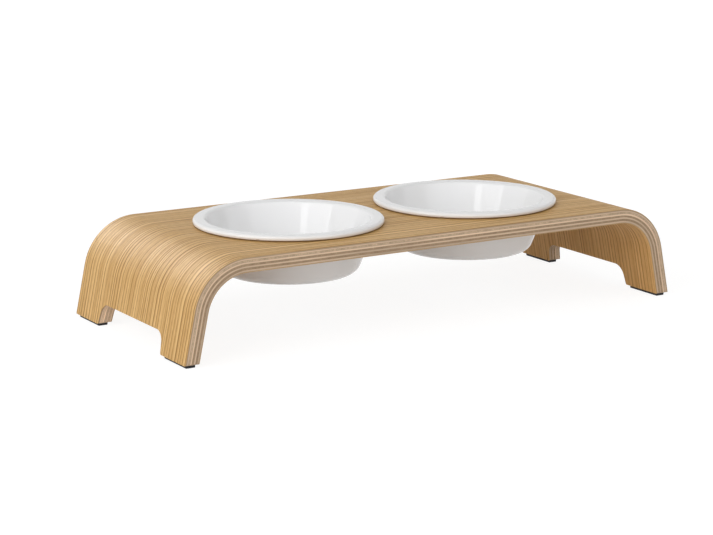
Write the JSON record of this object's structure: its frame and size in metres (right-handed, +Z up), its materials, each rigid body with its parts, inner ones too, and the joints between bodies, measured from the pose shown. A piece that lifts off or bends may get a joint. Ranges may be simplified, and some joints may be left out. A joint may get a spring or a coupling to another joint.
{
  "type": "cat feeding station",
  "caption": "Low bent-plywood stand on notched splayed legs, with round ceramic bowls that hang by their lips in holes in its top and lift straight out.",
  "frame": {"origin": "on the floor, below the middle of the board", "axes": "+X along the board, +Z up; the two long edges of the board face -Y (front) and +Y (rear)"},
  "size_m": [0.4624, 0.194, 0.085],
  "materials": {
    "oak_face": "satin clear lacquer",
    "core_long_grain": "sanded and lacquered",
    "core_cross_grain": "sanded and lacquered",
    "white_glaze": "glossy white glaze",
    "black_pad": "matte"
  },
  "bodies": {
    "board": {"top_face_veneer": "oak_face", "core_ply_1": "core_long_grain", "core_ply_2": "core_cross_grain", "core_ply_3": "core_long_grain", "core_ply_4": "core_cross_grain", "core_ply_5": "core_long_grain", "core_ply_6": "core_cross_grain", "core_ply_7": "core_long_grain", "under_face_veneer": "oak_face", "foot_pad_front_left": "black_pad", "foot_pad_front_right": "black_pad", "foot_pad_rear_left": "black_pad", "foot_pad_rear_right": "black_pad"},
    "left_bowl": {"bowl_left": "white_glaze"},
    "right_bowl": {"bowl_right": "white_glaze"}
  },
  "joints": [
    {"name": "left_bowl_lift", "type": "slide", "parent": "board", "child": "left_bowl", "axis": [0, 0, 1], "range_m": [0, 0.08]},
    {"name": "right_bowl_lift", "type": "slide", "parent": "board", "child": "right_bowl", "axis": [0, 0, 1], "range_m": [0, 0.08]}
  ]
}
